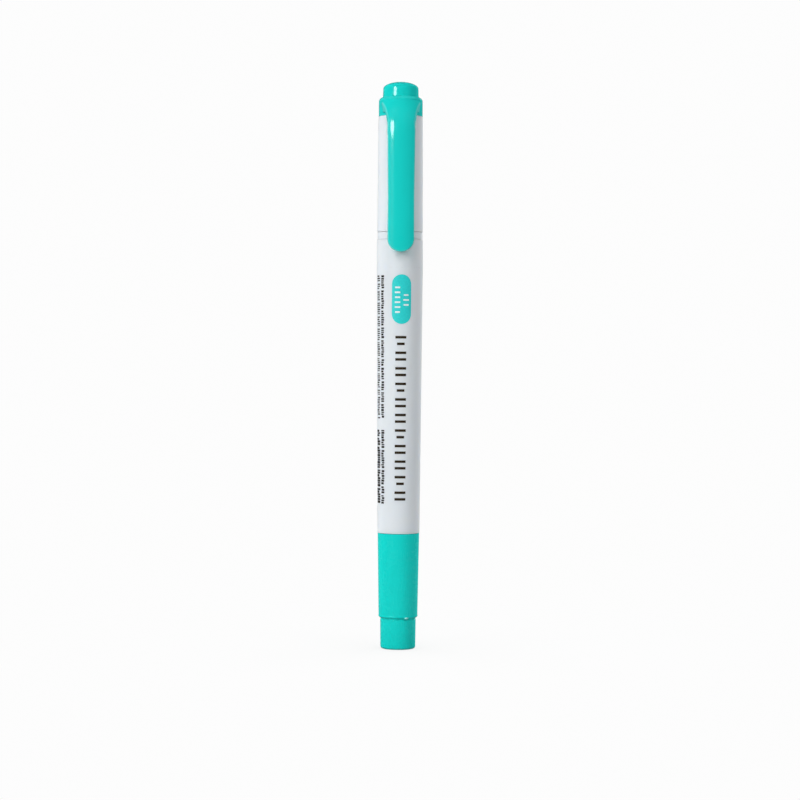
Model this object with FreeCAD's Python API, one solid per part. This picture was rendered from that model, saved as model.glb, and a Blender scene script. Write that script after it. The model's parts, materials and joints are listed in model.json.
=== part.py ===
# Twin-tip highlighter, capped at both ends, in millimetres.
# +Z runs along the pen from the fine-nib end to the end button. The origin is the centre of the
# flat end face that the pen stands on. The clip is on the -Y side.
import FreeCAD, Part
import math
import os

# ---------------------------------------------------------------- driving dimensions

# Heights where one outer piece meets the next.
STEP_Z = 7.75               # narrow end meets the fine-cap shell
FINE_RIM_Z = 28.80          # mouth of the fine cap
BARREL_BOTTOM_Z = 28.88
BARREL_WIDEST_Z = 95.00
BARREL_TOP_Z = 102.00
CAP_RIM_Z = 103.90          # mouth of the clip cap
RING_BOTTOM_Z = 132.70
RING_TOP_Z = 137.55
PEN_TOP_Z = 141.45

# Outer radii at those heights.
FOOT_R = 4.35               # narrow end, at its foot
STEP_INNER_R = 4.45         # narrow end, at the step
STEP_OUTER_R = 4.84         # shell, at the step
FINE_RIM_R = 5.175
BARREL_BOTTOM_R = 5.25
BARREL_WIDEST_R = 5.745
BARREL_TOP_R = 5.72
COLLAR_R = 5.60
CAP_RIM_R = 5.68
CAP_TOP_R = 5.55
RING_R = 5.47
RING_TOP_ROUND = 1.05
BUTTON_R = 4.42

# Fits between pieces.
RUNNING_GAP = 0.05          # cap on its neck, liner on the nib holder's nose
TURNING_GAP = 0.08          # liner turning inside its cap
SEATED_GAP = 0.02           # pieces pressed or glued together
END_PLAY = 0.10             # axial play of a captured liner

# Seats that the caps grip.
FINE_NECK_R = 4.42
FINE_NECK_Z = 22.30         # end of the neck, towards the fine nib
BROAD_NECK_R = 4.46
BROAD_NECK_Z = 111.50       # end of the neck, towards the broad nib
FINE_NOSE_R = 3.00
BROAD_NOSE_R = 3.85

# Nibs.
FINE_NIB_R = 1.10
FINE_NIB_TIP_Z = 8.00
FINE_NOSE_Z = 11.20         # the fine nib leaves its holder here
BROAD_NIB_WIDTH = 4.80
BROAD_NIB_THICK = 3.00
BROAD_NIB_CORNER = 0.70
BROAD_NIB_TIP_Z = 127.30
BROAD_NOSE_Z = 120.50       # the broad nib leaves its holder here
NIB_TAIL = 4.0              # how far each nib reaches into the reservoir

# Ink store.
RESERVOIR_R = 3.45
RESERVOIR_BOTTOM_Z = 37.60
RESERVOIR_TOP_Z = 97.00
FILM = 0.12

# Clip. Its crown is turned about an upright axis set forward of the pen's own, and bows back at the
# root to the ring's top edge.
CROWN_Y = -1.90
CLIP_FRONT_ROOT_R = 6.65    # front face at the root, from the crown axis
CLIP_FRONT_TIP_R = 6.45
CLIP_THICK = 1.50
CLIP_ROOT_Z = 126.00        # the front starts to bow back here
BOW_POWER = 3.6             # how gently the bow starts
CLIP_TIP_Z = 98.75
CLIP_TIP_HALF = 3.18        # half width at the round tip
CLIP_ROOT_HALF = 3.30
ROOT_BACK_Y = -2.00         # depth where the root ends inside the ring
ROOT_BACK_HALF = 4.87       # half width at that depth
ROOT_FRONT_LOW_HALF = 3.15  # half width of the root's front, at the split and at the top
ROOT_FRONT_TOP_HALF = 3.70
ARCH_RISE = 0.40            # the root leaves the ring this far above its lower edge
CLIP_SPLIT_Z = 131.50       # the arm flexes about the outer skin at this height
PAD_Z = 102.0               # contact pad under the tip
PAD_R = 1.10
PAD_LENGTH = 2.0
PAD_TIP_R = 1.6
PAD_END_Y = -5.86
BEYOND = 1.0                # how far cutting blocks reach past the solid they cut
OVERLAP = 0.01              # how far joined solids reach into each other

Vec = FreeCAD.Vector
UP = Vec(0, 0, 1)


# ---------------------------------------------------------------- helpers

def outline(start, steps, place):
    """Closed wire from start through steps. A step is an end point, or (mid point, end point) for an arc."""
    edges = []
    here = start
    for step in steps + [start]:
        if isinstance(step[0], tuple):
            mid, end = step
            edges.append(Part.Arc(place(here), place(mid), place(end)).toShape())
        else:
            end = step
            if math.dist(here, end) < 1e-7:
                continue
            edges.append(Part.makeLine(place(here), place(end)))
        here = end
    return Part.Wire(edges)


def turned(start, steps, axis_y=0.0):
    """Solid turned about an upright axis at y = axis_y. Points are (radius, height)."""
    wire = outline(start, steps, lambda p: Vec(p[0], axis_y, p[1]))
    return Part.Face(wire).revolve(Vec(0, axis_y, 0), UP, 360)


def arc_mid(centre, radius, angle):
    """Point on a circle, with the angle in degrees from the radius direction."""
    turn = math.radians(angle)
    return (centre[0] + radius * math.cos(turn), centre[1] + radius * math.sin(turn))


def rounded_top(corner_r, corner_z, radius):
    """Quarter-round outer edge at the top, as an arc step that ends inside."""
    centre = (corner_r - radius, corner_z - radius)
    return (arc_mid(centre, radius, 45), (centre[0], corner_z))


def block(x0, x1, y0, y1, z0, z1):
    """Box between two corners."""
    return Part.makeBox(x1 - x0, y1 - y0, z1 - z0, Vec(x0, y0, z0))


def write(node, shape):
    """One STEP file for one node, as a single clean solid."""
    clean = shape.removeSplitter()
    assert len(clean.Solids) == 1, (node, len(clean.Solids))
    solid = clean.Solids[0]
    assert solid.isValid(), node
    solid.exportStep(os.path.join("parts", node + ".step"))


# ---------------------------------------------------------------- fine cap

SOCKET_R = 4.10             # socket in the shell for the end piece's spigot and the liner's flange
SPIGOT_TOP_Z = 11.50
FLANGE = 0.80
LINER_STOP_Z = SPIGOT_TOP_Z + FLANGE + 2 * END_PLAY
LINER_OUT_R = 3.67
LINER_CUP_R = 2.95


def fine_cap_end():
    """Closed cup: the narrow end that the pen stands on, with a spigot inside the shell."""
    foot_round = 0.40
    floor = 1.40
    liner_gap = 0.15
    bore_r = LINER_CUP_R + liner_gap
    spigot_r = SOCKET_R - SEATED_GAP
    centre = (FOOT_R - foot_round, foot_round)
    return turned((0, 0), [
        (centre[0], 0),
        (arc_mid(centre, foot_round, -45), (FOOT_R, foot_round)),
        (STEP_INNER_R, STEP_Z),
        (spigot_r, STEP_Z),
        (spigot_r, SPIGOT_TOP_Z),
        (bore_r, SPIGOT_TOP_Z),
        (bore_r, floor),
        (0, floor),
    ])


def fine_cap_shell():
    """Tapered tube: the part of the fine cap that grips the neck."""
    chamfer = 0.30
    edge = 0.12
    stop_r = LINER_OUT_R + TURNING_GAP
    waist_r = 4.15
    seat_r = FINE_NECK_R + RUNNING_GAP
    seat_z = FINE_NECK_Z - 0.30
    seat_slope = 0.50
    stop_top_z = LINER_STOP_Z + 1.20
    stop_slope = 0.40
    return turned((STEP_OUTER_R - chamfer, STEP_Z), [
        (STEP_OUTER_R, STEP_Z + chamfer),
        (FINE_RIM_R, FINE_RIM_Z - edge),
        (FINE_RIM_R - edge, FINE_RIM_Z),
        (seat_r + edge, FINE_RIM_Z),
        (seat_r, FINE_RIM_Z - edge),
        (seat_r, seat_z),
        (waist_r, seat_z - seat_slope),
        (waist_r, stop_top_z + stop_slope),
        (stop_r, stop_top_z),
        (stop_r, LINER_STOP_Z),
        (SOCKET_R, LINER_STOP_Z),
        (SOCKET_R, STEP_Z),
    ])


def fine_cap_liner():
    """Sealing cup for the fine nib. Its flange is held between the end piece and the shell's stop."""
    cup_bottom_z = 5.50
    floor = 0.90
    cavity_r = 2.20
    flange_z = SPIGOT_TOP_Z + END_PLAY
    seal_r = FINE_NOSE_R + RUNNING_GAP
    seal_z = 17.20
    top_z = 21.40
    lead_in = 0.20
    return turned((0, cup_bottom_z), [
        (LINER_CUP_R, cup_bottom_z),
        (LINER_CUP_R, flange_z),
        (SOCKET_R - TURNING_GAP, flange_z),
        (SOCKET_R - TURNING_GAP, flange_z + FLANGE),
        (LINER_OUT_R, flange_z + FLANGE),
        (LINER_OUT_R, top_z),
        (seal_r + lead_in, top_z),
        (seal_r, top_z - lead_in),
        (seal_r, seal_z),
        (cavity_r, FINE_NOSE_Z - lead_in),
        (cavity_r, cup_bottom_z + floor),
        (0, cup_bottom_z + floor),
    ])


# ---------------------------------------------------------------- pen

FINE_PLUG_R = 3.70          # fine-nib holder inside the barrel
FINE_PLUG_TOP_Z = 37.00
BROAD_PLUG_R = 4.80         # broad-nib holder inside the barrel
BROAD_PLUG_BOTTOM_Z = 92.00


def barrel():
    """Tapered tube with four inner ribs that centre the reservoir."""
    edge = 0.12
    bottom_bore_r = FINE_PLUG_R + SEATED_GAP
    middle_bore_r = 4.05
    upper_bore_r = 4.55
    top_bore_r = BROAD_PLUG_R + SEATED_GAP
    seat_end_z = BROAD_PLUG_BOTTOM_Z - 0.50
    seat_start_z = FINE_PLUG_TOP_Z + 0.80
    seat_slope_z = 0.60
    tube = turned((bottom_bore_r, BARREL_BOTTOM_Z), [
        (BARREL_BOTTOM_R - edge, BARREL_BOTTOM_Z),
        (BARREL_BOTTOM_R, BARREL_BOTTOM_Z + edge),
        (BARREL_WIDEST_R, BARREL_WIDEST_Z),
        (BARREL_TOP_R, BARREL_TOP_Z - edge),
        (BARREL_TOP_R - edge, BARREL_TOP_Z),
        (top_bore_r, BARREL_TOP_Z),
        (top_bore_r, seat_end_z),
        (upper_bore_r, seat_end_z - seat_slope_z),
        (middle_bore_r, seat_start_z + seat_slope_z),
        (bottom_bore_r, seat_start_z),
    ])
    rib_half = 0.40
    rib_gap = 0.08
    rib_in_r = RESERVOIR_R + FILM + rib_gap
    rib_out_r = 4.90
    rib_bottom_z, rib_top_z = 42.0, 88.0
    rib_turn = 45
    rib = block(rib_in_r, rib_out_r, -rib_half, rib_half, rib_bottom_z, rib_top_z)
    for turn in (0, 90, 180, 270):
        tube = tube.fuse(rib.rotated(Vec(0, 0, 0), UP, turn + rib_turn))
    return tube


def fine_nib_holder():
    """Plug in the barrel, neck for the fine cap, and cone down to the fine nib."""
    cavity_r = 2.80
    throat_r = 1.95
    guide_z = 16.00
    nib_bore_r = FINE_NIB_R + SEATED_GAP
    mouth_r = 1.70
    mouth_round = 0.25
    lead_in = 0.30
    nose_z = 17.50
    shoulder_r = FINE_NOSE_R + 0.20
    cavity_bottom_z = FINE_NECK_Z + 1.00
    throat_top_z = FINE_NECK_Z - 1.50
    throat_bottom_z = guide_z + 0.60
    body = turned((nib_bore_r, FINE_NOSE_Z), [
        (mouth_r - mouth_round, FINE_NOSE_Z),
        (mouth_r, FINE_NOSE_Z + mouth_round),
        (FINE_NOSE_R, nose_z),
        (FINE_NOSE_R, FINE_NECK_Z - lead_in),
        (shoulder_r, FINE_NECK_Z),
        (FINE_NECK_R - lead_in, FINE_NECK_Z),
        (FINE_NECK_R, FINE_NECK_Z + lead_in),
        (FINE_NECK_R, BARREL_BOTTOM_Z),
        (FINE_PLUG_R, BARREL_BOTTOM_Z),
        (FINE_PLUG_R, FINE_PLUG_TOP_Z),
        (cavity_r, FINE_PLUG_TOP_Z),
        (cavity_r, cavity_bottom_z),
        (throat_r, throat_top_z),
        (throat_r, throat_bottom_z),
        (nib_bore_r, guide_z),
    ])
    # Two shallow slots along the plug let air back to the reservoir.
    slot_half, slot_depth, slot_z = 0.50, 0.25, BARREL_BOTTOM_Z + 1.50
    slot = block(FINE_PLUG_R - slot_depth, FINE_PLUG_R + BEYOND, -slot_half, slot_half,
                 slot_z, FINE_PLUG_TOP_Z + BEYOND)
    for turn in (0, 180):
        body = body.cut(slot.rotated(Vec(0, 0, 0), UP, turn))
    return body


def fine_nib():
    """Round fibre nib with a bullet tip."""
    tip_r = 0.45
    tip_arc_mid, tip_arc_end = -55, -20
    shoulder_z = FINE_NOSE_Z - 1.10
    top_z = RESERVOIR_BOTTOM_Z + NIB_TAIL
    tip_centre = (0, FINE_NIB_TIP_Z + tip_r)
    return turned((0, FINE_NIB_TIP_Z), [
        (arc_mid(tip_centre, tip_r, tip_arc_mid), arc_mid(tip_centre, tip_r, tip_arc_end)),
        (FINE_NIB_R, shoulder_z),
        (FINE_NIB_R, top_z),
        (0, top_z),
    ])


def nib_section(extra, z0, z1):
    """Bar with the broad nib's rounded section, grown by extra on each side."""
    half_x = BROAD_NIB_WIDTH / 2 + extra
    half_y = BROAD_NIB_THICK / 2 + extra
    bar = block(-half_x, half_x, -half_y, half_y, z0, z1)
    upright = [e for e in bar.Edges if e.BoundBox.ZLength > (z1 - z0) / 2]
    return bar.makeFillet(BROAD_NIB_CORNER, upright)


def broad_nib():
    """Flat fibre nib with a slanted chisel edge."""
    slant = 2.60
    bevel = 4.20
    edge_half = 0.55
    half_y = BROAD_NIB_THICK / 2
    reach = BROAD_NIB_WIDTH
    nib = nib_section(0, RESERVOIR_TOP_Z - NIB_TAIL, BROAD_NIB_TIP_Z)
    top = BROAD_NIB_TIP_Z
    drop = slant / BROAD_NIB_WIDTH
    edge = [(-reach, top - drop * (reach + reach / 2)), (reach, top + drop * reach / 2)]
    slanted = outline(edge[0], [edge[1], (reach, top + reach), (-reach, top + reach)],
                      lambda p: Vec(p[0], -reach, p[1]))
    nib = nib.cut(Part.Face(slanted).extrude(Vec(0, 2 * reach, 0)))
    for side in (1, -1):
        wedge = outline((side * half_y, top - bevel - slant), [
            (side * edge_half, top),
            (side * edge_half, top + BEYOND),
            (side * (half_y + BEYOND), top + BEYOND),
            (side * (half_y + BEYOND), top - bevel - slant),
        ], lambda p: Vec(-reach, p[0], p[1]))
        nib = nib.cut(Part.Face(wedge).extrude(Vec(2 * reach, 0, 0)))
    return nib


def broad_nib_holder():
    """Plug in the barrel, exposed collar, neck for the clip cap, and nose around the broad nib."""
    cavity_r = 3.75
    neck_cavity_r = 3.40
    lead_in = 0.30
    collar_gap = 0.05
    collar_top_z = CAP_RIM_Z - 0.12
    guide_z = BROAD_NECK_Z + 1.50
    guide_slope = 1.50
    guide_shoulder_r = neck_cavity_r - 0.60
    cavity_top_z = BARREL_TOP_Z - 1.00
    nose_taper_z = BROAD_NOSE_Z - 3.50
    mouth_r = 3.45
    mouth_round = 0.30
    body = turned((cavity_r, BROAD_PLUG_BOTTOM_Z), [
        (BROAD_PLUG_R, BROAD_PLUG_BOTTOM_Z),
        (BROAD_PLUG_R, BARREL_TOP_Z + collar_gap),
        (COLLAR_R, BARREL_TOP_Z + collar_gap),
        (COLLAR_R, collar_top_z),
        (BROAD_NECK_R, collar_top_z),
        (BROAD_NECK_R, BROAD_NECK_Z - lead_in),
        (BROAD_NECK_R - lead_in, BROAD_NECK_Z),
        (BROAD_NOSE_R, BROAD_NECK_Z),
        (BROAD_NOSE_R, nose_taper_z),
        (mouth_r, BROAD_NOSE_Z - mouth_round),
        (mouth_r - mouth_round, BROAD_NOSE_Z),
        (0, BROAD_NOSE_Z),
        (0, guide_z),
        (guide_shoulder_r, guide_z),
        (neck_cavity_r, guide_z - guide_slope),
        (neck_cavity_r, BARREL_TOP_Z),
        (cavity_r, cavity_top_z),
    ])
    return body.cut(nib_section(SEATED_GAP, guide_z - guide_slope - BEYOND, BROAD_NOSE_Z + BEYOND))


def ink_reservoir(fine_tail, broad_tail):
    """Fibre rod between the nibs, with a pocket at each end for the nib's tail."""
    rod = Part.makeCylinder(RESERVOIR_R, RESERVOIR_TOP_Z - RESERVOIR_BOTTOM_Z, Vec(0, 0, RESERVOIR_BOTTOM_Z))
    return rod.cut(fine_tail).cut(broad_tail)


def reservoir_wrap():
    """Film around the fibre rod."""
    height = RESERVOIR_TOP_Z - RESERVOIR_BOTTOM_Z
    outer = Part.makeCylinder(RESERVOIR_R + FILM, height, Vec(0, 0, RESERVOIR_BOTTOM_Z))
    inner = Part.makeCylinder(RESERVOIR_R, height, Vec(0, 0, RESERVOIR_BOTTOM_Z))
    return outer.cut(inner)


# ---------------------------------------------------------------- clip cap

CAP_SOCKET_R = 4.85         # socket in the sleeve for the ring's spigot and the liner's flange
CAP_STOP_Z = 129.90
CAP_SPIGOT_Z = CAP_STOP_Z + FLANGE + 2 * END_PLAY
STEM_R = 3.60


def broad_cap_sleeve():
    """White sleeve, open at both ends."""
    edge = 0.15
    seat_r = BROAD_NECK_R + RUNNING_GAP
    return turned((seat_r + edge, CAP_RIM_Z), [
        (CAP_RIM_R - edge, CAP_RIM_Z),
        (CAP_RIM_R, CAP_RIM_Z + edge),
        (CAP_TOP_R, RING_BOTTOM_Z - edge),
        (CAP_TOP_R - edge, RING_BOTTOM_Z),
        (CAP_SOCKET_R, RING_BOTTOM_Z),
        (CAP_SOCKET_R, CAP_STOP_Z),
        (seat_r, CAP_STOP_Z),
        (seat_r, CAP_RIM_Z + edge),
    ])


def broad_cap_liner():
    """Sealing cup for the broad nib. Its flange is held between the sleeve's stop and the ring."""
    bottom_z = 112.20
    roof = 1.20
    outer_r = BROAD_NECK_R + RUNNING_GAP - TURNING_GAP
    seal_r = BROAD_NOSE_R + RUNNING_GAP
    seal_top_z = BROAD_NOSE_Z + 0.80
    cavity_r = 3.55
    cavity_slope = 0.50
    lead_in = 0.20
    flange_z = CAP_STOP_Z + END_PLAY
    top_z = flange_z + FLANGE
    return turned((seal_r + lead_in, bottom_z), [
        (outer_r, bottom_z),
        (outer_r, flange_z),
        (CAP_SOCKET_R - TURNING_GAP, flange_z),
        (CAP_SOCKET_R - TURNING_GAP, top_z),
        (0, top_z),
        (0, top_z - roof),
        (cavity_r, top_z - roof),
        (cavity_r, seal_top_z + cavity_slope),
        (seal_r, seal_top_z),
        (seal_r, bottom_z + lead_in),
    ])


def plain_ring():
    """Ring with a spigot below, a hole for the end button's stem, and a rounded top edge."""
    edge = 0.10
    spigot_r = CAP_SOCKET_R - SEATED_GAP
    return turned((STEM_R, CAP_SPIGOT_Z), [
        (spigot_r, CAP_SPIGOT_Z),
        (spigot_r, RING_BOTTOM_Z),
        (RING_R - edge, RING_BOTTOM_Z),
        (RING_R, RING_BOTTOM_Z + edge),
        (RING_R, RING_TOP_Z - RING_TOP_ROUND),
        rounded_top(RING_R, RING_TOP_Z, RING_TOP_ROUND),
        (STEM_R, RING_TOP_Z),
    ])


def clip_outline():
    """Upright slab with the clip's front outline: a round tip and straight sides."""
    tip_z = CLIP_TIP_Z + CLIP_TIP_HALF
    front_y = CROWN_Y - CLIP_FRONT_ROOT_R - BEYOND
    wire = outline((CLIP_TIP_HALF, tip_z), [
        (CLIP_ROOT_HALF, CLIP_SPLIT_Z),
        (-CLIP_ROOT_HALF, CLIP_SPLIT_Z),
        (-CLIP_TIP_HALF, tip_z),
        ((0, CLIP_TIP_Z), (CLIP_TIP_HALF, tip_z)),
    ], lambda p: Vec(p[0], front_y, p[1]))
    return Part.Face(wire).extrude(Vec(0, -front_y, 0))


def hood():
    """Solid whose front bows back from the clip's crown to the ring's top edge, with an arch under the root."""
    rise = RING_TOP_Z - CLIP_ROOT_Z
    top_r = RING_R - RING_TOP_ROUND
    front_y = CROWN_Y - CLIP_FRONT_ROOT_R
    reach = -top_r - front_y
    levels = 11
    rings = []
    for i in range(levels + 1):
        share = (i / levels) ** BOW_POWER
        centre_y = CROWN_Y * (1 - share)
        radius = centre_y - (front_y + reach * share)
        height = CLIP_ROOT_Z + rise * i / levels
        rings.append(Part.Wire(Part.makeCircle(radius, Vec(0, centre_y, height), UP)))
    solid = Part.makeLoft(rings, True)
    inner_r = CLIP_FRONT_ROOT_R - CLIP_THICK
    ring_front_r = RING_R + CROWN_Y
    arch_z = RING_BOTTOM_Z + ARCH_RISE
    arch_top = ((inner_r + ring_front_r) / 2, arch_z + (inner_r - ring_front_r) / 2)
    hollow = turned((0, CLIP_ROOT_Z - BEYOND), [
        (inner_r, CLIP_ROOT_Z - BEYOND),
        (inner_r, arch_z),
        (arch_top, (ring_front_r, arch_z)),
        (0, arch_z),
    ], axis_y=CROWN_Y)
    return solid.cut(hollow)


def root_flanks():
    """Block with the root's drafted sides, wider at the ring than at the front."""
    front_y = CROWN_Y - CLIP_FRONT_ROOT_R - OVERLAP
    top_z = RING_TOP_Z + BEYOND
    ends = []
    for y, low_half, top_half in ((front_y, ROOT_FRONT_LOW_HALF, ROOT_FRONT_TOP_HALF),
                                  (ROOT_BACK_Y, ROOT_BACK_HALF, ROOT_BACK_HALF)):
        corners = [(-low_half, CLIP_SPLIT_Z), (low_half, CLIP_SPLIT_Z), (top_half, top_z), (-top_half, top_z)]
        ends.append(Part.makePolygon([Vec(x, y, z) for x, z in corners + corners[:1]]))
    return Part.makeLoft(ends, True, True)


def clip_ring(bow):
    """Ring with the root of the clip."""
    stem_hole = Part.makeCylinder(STEM_R, RING_TOP_Z, Vec(0, 0, BEYOND))
    return plain_ring().fuse(bow.common(root_flanks()).cut(stem_hole))


def clip_arm(bow):
    """Arm of the clip, just clear of its root, with a round pad that rests near the barrel."""
    below = turned((CLIP_FRONT_TIP_R, CLIP_TIP_Z), [
        (CLIP_FRONT_ROOT_R, CLIP_ROOT_Z),
        (CLIP_FRONT_ROOT_R - CLIP_THICK, CLIP_ROOT_Z),
        (CLIP_FRONT_TIP_R - CLIP_THICK, CLIP_TIP_Z),
    ], axis_y=CROWN_Y)
    half, top_z = 2 * RING_R, CLIP_SPLIT_Z - SEATED_GAP
    above = bow.common(block(-half, half, -2 * half, CROWN_Y, CLIP_ROOT_Z, top_z))
    pad = Part.makeCylinder(PAD_R, PAD_LENGTH, Vec(0, PAD_END_Y, PAD_Z), Vec(0, -1, 0))
    pad = pad.common(Part.makeSphere(PAD_TIP_R, Vec(0, PAD_END_Y - PAD_TIP_R, PAD_Z)))
    return below.fuse(above).common(clip_outline()).fuse(pad)


def cap_end_plug():
    """End button: crowned head on the ring and a hollow stem pressed through it."""
    foot = 0.25
    wall_top_z = 139.78
    crown_r = 2.30
    crown_rise = 0.15
    crown_z = PEN_TOP_Z - crown_rise
    stem_bottom_z = CAP_SPIGOT_Z + 0.50
    stem_r = STEM_R - SEATED_GAP
    bore_r = 2.50
    bore_top_z = RING_TOP_Z + 1.20
    foot_centre = (BUTTON_R + foot, RING_TOP_Z + foot)
    shoulder_turn = math.radians(45)
    shoulder_mid = (crown_r + (BUTTON_R - crown_r) * math.cos(shoulder_turn),
                    wall_top_z + (crown_z - wall_top_z) * math.sin(shoulder_turn))
    plug = turned((bore_r, stem_bottom_z), [
        (stem_r, stem_bottom_z),
        (stem_r, RING_TOP_Z),
        (BUTTON_R + foot, RING_TOP_Z),
        (arc_mid(foot_centre, foot, 225), (BUTTON_R, RING_TOP_Z + foot)),
        (BUTTON_R, wall_top_z),
        (shoulder_mid, (crown_r, crown_z)),
        (crown_r, PEN_TOP_Z),
        (0, PEN_TOP_Z),
        (0, bore_top_z),
        (bore_r, bore_top_z),
    ])
    dome_r = (crown_r ** 2 + crown_rise ** 2) / (2 * crown_rise)
    return plug.common(Part.makeSphere(dome_r, Vec(0, 0, PEN_TOP_Z - dome_r)))


# ---------------------------------------------------------------- build

def build():
    """Makes every piece once and writes it out."""
    fine = fine_nib()
    broad = broad_nib()
    bow = hood()
    pieces = {
        "fine_cap_end": fine_cap_end(),
        "fine_cap_shell": fine_cap_shell(),
        "fine_cap_liner": fine_cap_liner(),
        "barrel": barrel(),
        "fine_nib_holder": fine_nib_holder(),
        "fine_nib": fine,
        "broad_nib": broad,
        "broad_nib_holder": broad_nib_holder(),
        "ink_reservoir": ink_reservoir(fine, broad),
        "reservoir_wrap": reservoir_wrap(),
        "broad_cap_sleeve": broad_cap_sleeve(),
        "broad_cap_liner": broad_cap_liner(),
        "clip_ring": clip_ring(bow),
        "clip_arm": clip_arm(bow),
        "cap_end_plug": cap_end_plug(),
    }
    os.makedirs("parts", exist_ok=True)
    for node, shape in pieces.items():
        write(node, shape)


build()
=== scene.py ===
import json
import math
import random

import bpy
import numpy as np
from mathutils import Matrix, Quaternion, Vector

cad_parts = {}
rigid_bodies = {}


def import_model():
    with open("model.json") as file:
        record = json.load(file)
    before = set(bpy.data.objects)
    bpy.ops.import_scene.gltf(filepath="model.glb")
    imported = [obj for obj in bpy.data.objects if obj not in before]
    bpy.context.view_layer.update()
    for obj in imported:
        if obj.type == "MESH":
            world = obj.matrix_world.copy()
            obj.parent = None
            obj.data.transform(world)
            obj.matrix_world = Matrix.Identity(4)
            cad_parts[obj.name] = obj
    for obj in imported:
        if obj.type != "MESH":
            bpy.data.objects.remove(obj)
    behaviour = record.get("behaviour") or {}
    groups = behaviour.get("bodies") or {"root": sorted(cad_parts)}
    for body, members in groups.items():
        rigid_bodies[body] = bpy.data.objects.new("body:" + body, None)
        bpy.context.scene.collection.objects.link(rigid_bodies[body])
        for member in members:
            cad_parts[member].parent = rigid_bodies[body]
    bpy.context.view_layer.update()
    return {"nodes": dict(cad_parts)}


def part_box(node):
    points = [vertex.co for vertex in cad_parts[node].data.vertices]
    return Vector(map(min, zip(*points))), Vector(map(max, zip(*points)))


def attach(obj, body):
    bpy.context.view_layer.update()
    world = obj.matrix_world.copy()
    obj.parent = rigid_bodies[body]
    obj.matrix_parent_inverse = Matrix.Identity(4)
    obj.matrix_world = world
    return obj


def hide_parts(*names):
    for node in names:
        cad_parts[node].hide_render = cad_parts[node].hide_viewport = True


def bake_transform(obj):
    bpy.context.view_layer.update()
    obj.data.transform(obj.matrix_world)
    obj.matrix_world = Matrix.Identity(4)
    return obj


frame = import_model()

# Lengths below are in millimetres until a mesh, a light or the camera is made.
MM = 0.001


# ------------------------------------------------------------------ places taken from the frame

def span(node):
    """(lowest height, highest height, largest radius) of a turned CAD node."""
    lo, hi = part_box(node)
    return lo.z / MM, hi.z / MM, hi.x / MM


END_BOTTOM, END_SPIGOT_TOP, STEP_INNER_R = span("fine_cap_end")
STEP_Z, FINE_RIM_Z, FINE_RIM_R = span("fine_cap_shell")
BARREL_BOTTOM, BARREL_TOP, BARREL_WIDEST_R = span("barrel")
CAP_RIM_Z, RING_BOTTOM, CAP_RIM_R = span("broad_cap_sleeve")
SPIGOT_BOTTOM, RING_TOP, RING_R = span("clip_ring")
CLIP_TIP_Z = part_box("clip_arm")[0].z / MM
CLIP_FRONT = -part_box("clip_arm")[0].y / MM
STEM_BOTTOM, PEN_TOP, _ = span("cap_end_plug")
BROAD_NIB_TIP = span("broad_nib")[1]
FINE_NIB_TIP, _, FINE_NIB_R = span("fine_nib")

# Radii that a box can't tell, as in the CAD part.
FOOT_R = 4.35
STEP_OUTER_R = 4.84
BARREL_BOTTOM_R = 5.25
BARREL_WIDEST_Z = 95.0
BARREL_TOP_R = 5.72
CAP_TOP_R = 5.55
BUTTON_R = 4.42
STEM_HOLE_R = 3.60
RING_ROUND = 1.05
CROWN_Y = -1.90
TIP_HALF = 3.18


# ------------------------------------------------------------------ mesh helpers

def add_piece(name, points, faces, material, body=None):
    """Smooth-shaded mesh object from points in millimetres."""
    mesh = bpy.data.meshes.new(name)
    mesh.from_pydata([tuple(p) for p in np.asarray(points, float) * MM], [], faces)
    mesh.shade_smooth()
    mesh.materials.append(material)
    piece = bpy.data.objects.new(name, mesh)
    bpy.context.scene.collection.objects.link(piece)
    if body:
        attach(piece, body)
    return piece


def soften(corners, closed, steps=6):
    """Profile points with each (radius, height, rounding) corner turned into an arc.

    Each point is (radius, height, edge), where edge is 1 inside an arc and 0 elsewhere.
    """
    count = len(corners)
    out = []
    for i, (r, z, rounding) in enumerate(corners):
        here = np.array((r, z), float)
        inner = closed or 0 < i < count - 1
        if not inner or rounding <= 0:
            out.append((r, z, 0.0))
            continue
        before = np.array(corners[i - 1][:2], float) - here
        after = np.array(corners[(i + 1) % count][:2], float) - here
        before_dir = before / np.linalg.norm(before)
        after_dir = after / np.linalg.norm(after)
        half = math.acos(np.clip(before_dir @ after_dir, -1, 1)) / 2
        reach = min(rounding / math.tan(half), 0.49 * np.linalg.norm(before), 0.49 * np.linalg.norm(after))
        radius = reach * math.tan(half)
        middle = (before_dir + after_dir) / np.linalg.norm(before_dir + after_dir)
        centre = here + middle * radius / math.sin(half)
        start = here + before_dir * reach - centre
        end = here + after_dir * reach - centre
        turn = math.acos(np.clip(start @ end / (radius * radius), -1, 1))
        for k in range(steps + 1):
            share = k / steps
            from_start, from_end = math.sin((1 - share) * turn), math.sin(share * turn)
            p = centre + (start * from_start + end * from_end) / math.sin(turn)
            out.append((p[0], p[1], 1.0 if 0 < k < steps else 0.0))
    return out


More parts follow.
